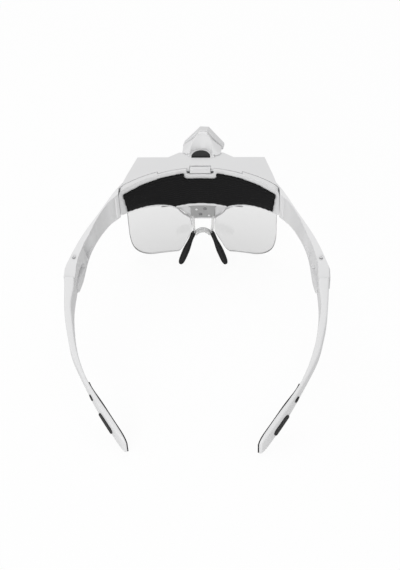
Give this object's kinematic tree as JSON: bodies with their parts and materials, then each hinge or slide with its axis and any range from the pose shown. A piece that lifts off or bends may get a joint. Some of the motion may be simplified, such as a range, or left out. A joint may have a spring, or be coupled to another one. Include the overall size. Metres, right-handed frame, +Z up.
{
  "type": "lighted magnifier glasses",
  "caption": "Head-worn magnifier glasses with curved brow housing, padded battery cover, swivelling lamp, slide-down clear lenses, nose pads and folding temple arms.",
  "frame": {"origin": "on the table under the middle of the model's length and width, as it stands on its lenses and arm tips", "axes": "+X to the wearer's right, +Y forward from the face to the lamp, +Z up"},
  "size_m": [0.1898, 0.2386, 0.1005],
  "materials": {
    "white_plastic": "smooth moulded",
    "grey_plastic": "satin moulded",
    "black_plastic": "fine grain",
    "clear_plastic": "polished clear",
    "black_rubber": "matte",
    "pad_cloth": "fine woven",
    "steel": "plain",
    "contact_metal": "nickel plated",
    "cell_jacket": "printed foil, bare",
    "silvered_plastic": "metallised",
    "board": "solder mask",
    "led_resin": "clear over yellow"
  },
  "bodies": {
    "frame": {"brow_housing": "white_plastic", "front_visor": "white_plastic", "battery_cells": "cell_jacket", "contact_plates": "contact_metal", "contact_springs": "contact_metal", "switch_body": "black_plastic", "nose_frame": "clear_plastic", "nose_screws": "steel", "nose_pad_right": "black_rubber", "nose_pad_left": "black_rubber", "side_bracket_right": "white_plastic", "side_bracket_left": "white_plastic", "hinge_pin_right": "steel", "hinge_pin_left": "steel", "hinge_cap_right": "grey_plastic", "hinge_cap_left": "grey_plastic"},
    "cover": {"battery_cover": "white_plastic", "brow_pad": "pad_cloth"},
    "latch": {"cover_latch": "white_plastic"},
    "button": {"power_button": "black_plastic"},
    "lamp_base": {"lamp_bracket": "white_plastic", "lamp_pin": "steel"},
    "lamp": {"lamp_shell": "white_plastic", "lamp_hood": "white_plastic", "lamp_window": "clear_plastic", "lamp_reflector": "silvered_plastic", "lamp_board": "board", "lamp_leds": "led_resin"},
    "lens": {"lens_plate": "clear_plastic"},
    "arm_right": {"temple_arm_right": "white_plastic", "temple_grip_right": "black_rubber"},
    "arm_left": {"temple_arm_left": "white_plastic", "temple_grip_left": "black_rubber"}
  },
  "joints": [
    {"name": "arm_fold_right", "type": "hinge", "parent": "frame", "child": "arm_right", "pos_m": [0.0887, 0.00133, 0.056], "axis": [0, 0, -1], "range_deg": [0, 88]},
    {"name": "arm_fold_left", "type": "hinge", "parent": "frame", "child": "arm_left", "pos_m": [-0.0887, 0.00133, 0.056], "axis": [0, 0, 1], "range_deg": [0, 66]},
    {"name": "lens_slide", "type": "slide", "parent": "frame", "child": "lens", "axis": [0, 0, -1], "range_m": [0, 0.012]},
    {"name": "cover_hinge", "type": "hinge", "parent": "frame", "child": "cover", "pos_m": [0, 0.07748, 0.0535], "axis": [1, 0, 0], "range_deg": [0, 70]},
    {"name": "latch_flex", "type": "hinge", "parent": "cover", "child": "latch", "pos_m": [0, 0.07738, 0.0853], "axis": [1, 0, 0], "range_deg": [0, 8], "stiffness_Nm_per_rad": 0.05, "springref_deg": -2.86},
    {"name": "button_press", "type": "slide", "parent": "frame", "child": "button", "axis": [0, 0, -1], "range_m": [0, 0.001], "stiffness_N_per_m": 400, "springref_m": -0.001},
    {"name": "lamp_swivel", "type": "hinge", "parent": "frame", "child": "lamp_base", "pos_m": [0, 0.09173, 0.0887], "axis": [0, 0, 1], "range_deg": [-12, 20]},
    {"name": "lamp_tilt", "type": "hinge", "parent": "lamp_base", "child": "lamp", "pos_m": [0.00126, 0.10768, 0.0917], "axis": [-0.9969, 0.0785, 0], "range_deg": [0, 24]}
  ]
}
